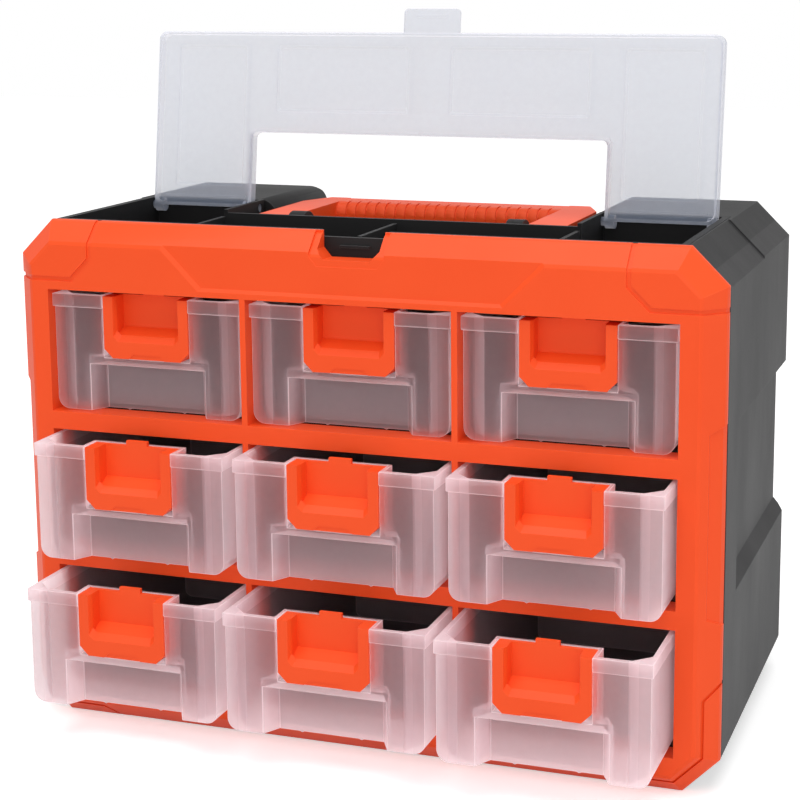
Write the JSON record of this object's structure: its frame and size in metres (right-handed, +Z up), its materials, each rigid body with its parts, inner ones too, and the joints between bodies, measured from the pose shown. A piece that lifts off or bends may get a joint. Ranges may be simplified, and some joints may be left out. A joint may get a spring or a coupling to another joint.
{
  "type": "small parts cabinet",
  "caption": "Portable small parts cabinet: rows of clear drawers slide in a bevelled orange frame, under a lidded tray with a folding carry handle.",
  "frame": {"origin": "middle of the flat base, on the surface that the cabinet stands on", "axes": "+X to the right seen from the drawers' side, +Y from the drawers to the back, +Z up"},
  "size_m": [0.33, 0.208, 0.3311],
  "materials": {
    "orange_plastic": "satin moulded",
    "black_plastic": "fine textured",
    "frosted_drawer": "frosted translucent moulding",
    "clear_lid": "frosted translucent moulding"
  },
  "bodies": {
    "cabinet": {"front_frame": "orange_plastic", "body_shell": "black_plastic", "top_tray": "black_plastic", "shelf_top": "black_plastic", "shelf_middle": "black_plastic", "shelf_low": "black_plastic", "upright_left": "black_plastic", "upright_right": "black_plastic"},
    "lid": {"lid": "clear_lid"},
    "handle": {"carry_handle": "orange_plastic"},
    "top_left_drawer": {"drawer_top_left": "frosted_drawer", "pull_top_left": "orange_plastic"},
    "top_centre_drawer": {"drawer_top_centre": "frosted_drawer", "pull_top_centre": "orange_plastic"},
    "top_right_drawer": {"drawer_top_right": "frosted_drawer", "pull_top_right": "orange_plastic"},
    "middle_left_drawer": {"drawer_middle_left": "frosted_drawer", "pull_middle_left": "orange_plastic"},
    "middle_centre_drawer": {"drawer_middle_centre": "frosted_drawer", "pull_middle_centre": "orange_plastic"},
    "middle_right_drawer": {"drawer_middle_right": "frosted_drawer", "pull_middle_right": "orange_plastic"},
    "low_left_drawer": {"drawer_low_left": "frosted_drawer", "pull_low_left": "orange_plastic"},
    "low_centre_drawer": {"drawer_low_centre": "frosted_drawer", "pull_low_centre": "orange_plastic"},
    "low_right_drawer": {"drawer_low_right": "frosted_drawer", "pull_low_right": "orange_plastic"}
  },
  "joints": [
    {"name": "lid_hinge", "type": "hinge", "parent": "cabinet", "child": "lid", "pos_m": [0, 0.015, 0.2337], "axis": [1, 0, 0], "range_deg": [0, 98]},
    {"name": "handle_pivot", "type": "hinge", "parent": "cabinet", "child": "handle", "pos_m": [0, -0.009, 0.2263], "axis": [1, 0, 0], "range_deg": [0, 44]},
    {"name": "top_left_slide", "type": "slide", "parent": "cabinet", "child": "top_left_drawer", "axis": [0, -1, 0], "range_m": [0, 0.112]},
    {"name": "top_centre_slide", "type": "slide", "parent": "cabinet", "child": "top_centre_drawer", "axis": [0, -1, 0], "range_m": [0, 0.112]},
    {"name": "top_right_slide", "type": "slide", "parent": "cabinet", "child": "top_right_drawer", "axis": [0, -1, 0], "range_m": [0, 0.112]},
    {"name": "middle_left_slide", "type": "slide", "parent": "cabinet", "child": "middle_left_drawer", "axis": [0, -1, 0], "range_m": [-0.021, 0.091]},
    {"name": "middle_centre_slide", "type": "slide", "parent": "cabinet", "child": "middle_centre_drawer", "axis": [0, -1, 0], "range_m": [-0.021, 0.091]},
    {"name": "middle_right_slide", "type": "slide", "parent": "cabinet", "child": "middle_right_drawer", "axis": [0, -1, 0], "range_m": [-0.021, 0.091]},
    {"name": "low_left_slide", "type": "slide", "parent": "cabinet", "child": "low_left_drawer", "axis": [0, -1, 0], "range_m": [-0.032, 0.08]},
    {"name": "low_centre_slide", "type": "slide", "parent": "cabinet", "child": "low_centre_drawer", "axis": [0, -1, 0], "range_m": [-0.0345, 0.0775]},
    {"name": "low_right_slide", "type": "slide", "parent": "cabinet", "child": "low_right_drawer", "axis": [0, -1, 0], "range_m": [-0.038, 0.074]}
  ]
}
